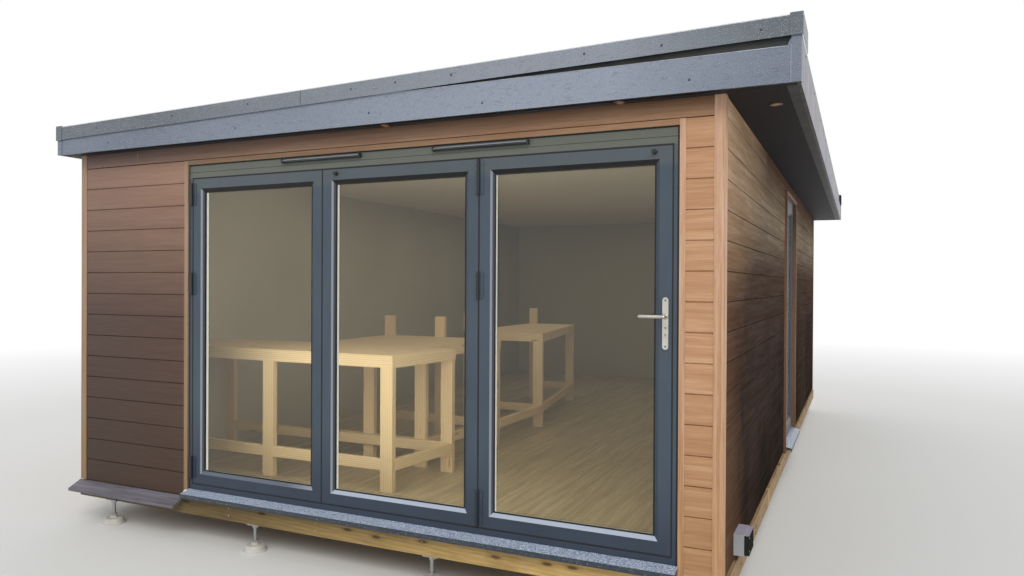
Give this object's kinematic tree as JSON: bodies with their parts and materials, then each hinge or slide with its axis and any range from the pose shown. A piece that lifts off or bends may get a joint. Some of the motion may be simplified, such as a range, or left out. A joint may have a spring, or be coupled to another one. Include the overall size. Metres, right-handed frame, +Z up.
{
  "type": "garden office pod",
  "caption": "Flat-roofed garden office with horizontal board cladding, a glazed folding door across its front, deep grey fascias, adjustable feet and three timber workbenches inside.",
  "frame": {"origin": "on the ground under the middle of the roof's plan", "axes": "+X along the front to the right as seen from outside, +Y from the door to the back, +Z up"},
  "size_m": [4.635, 7.22, 2.7102],
  "materials": {
    "foot_plastic": "dusty off-white moulded plastic",
    "zinc": "zinc-plated steel",
    "treated_timber": "sawn, pressure-treated softwood",
    "structural_board": "bare strand board",
    "oak_floor": "pale oak-effect boards, satin",
    "painted_lining": "cream-white matt paint",
    "cladding_wood": "embossed brown cladding board, matt",
    "trim_wood": "lighter tan trim, matt",
    "weathered_timber": "grey weathered timber",
    "roof_rubber": "black sheet rubber",
    "edge_plastic": "dark grey embossed trim with rain drops",
    "backing_plastic": "dark grey board",
    "fascia_plastic": "anthracite embossed board with rain drops",
    "soffit_plastic": "near-black board",
    "copper_bezel": "copper-coloured metal",
    "door_aluminium": "anthracite powder coat, fine texture",
    "clear_glass": "clear double glazing",
    "white_bead": "white powder coat",
    "hinge_metal": "anthracite powder coat",
    "steel_handle": "brushed stainless steel",
    "black_plastic": "black moulded plastic",
    "vent_plastic": "dark grey moulded plastic",
    "box_plastic": "light grey moulded plastic",
    "bench_timber": "raw sawn softwood with knots"
  },
  "bodies": {
    "root": {"levelling_feet": "foot_plastic", "foot_screws": "zinc", "front_bearer": "treated_timber", "middle_bearer": "treated_timber", "rear_bearer": "treated_timber", "side_bearers": "treated_timber", "floor_joists": "treated_timber", "floor_deck": "structural_board", "floor_boards": "oak_floor", "front_wall_left": "structural_board", "front_wall_right": "structural_board", "front_wall_head": "structural_board", "left_wall": "structural_board", "right_wall": "structural_board", "rear_wall": "structural_board", "wall_lining": "painted_lining", "ceiling": "painted_lining", "front_cladding_left": "cladding_wood", "front_cladding_right": "cladding_wood", "front_cladding_head": "cladding_wood", "left_cladding": "cladding_wood", "right_cladding": "cladding_wood", "rear_cladding": "cladding_wood", "corner_trims": "trim_wood", "door_trim": "trim_wood", "base_ledge": "weathered_timber", "roof_structure": "structural_board", "roof_membrane": "roof_rubber", "roof_edge_trims": "edge_plastic", "roof_corner_caps": "edge_plastic", "fascia_backing": "backing_plastic", "front_fascia": "fascia_plastic", "right_fascia": "fascia_plastic", "left_fascia": "fascia_plastic", "rear_fascia": "fascia_plastic", "fascia_corner_posts": "fascia_plastic", "soffit_boards": "soffit_plastic", "soffit_vent": "soffit_plastic", "soffit_lights": "copper_bezel", "door_sill": "door_aluminium", "door_frame": "door_aluminium", "left_leaf": "door_aluminium", "middle_leaf": "door_aluminium", "right_leaf": "door_aluminium", "door_glass": "clear_glass", "glazing_beads": "white_bead", "door_hinges": "hinge_metal", "door_handle": "steel_handle", "door_catches": "black_plastic", "trickle_vents": "vent_plastic", "side_window": "door_aluminium", "side_glass": "clear_glass", "side_sill": "door_aluminium", "side_trims": "trim_wood", "front_workbench": "bench_timber", "middle_workbench": "bench_timber", "rear_workbench": "bench_timber", "power_box": "box_plastic"}
  },
  "joints": []
}
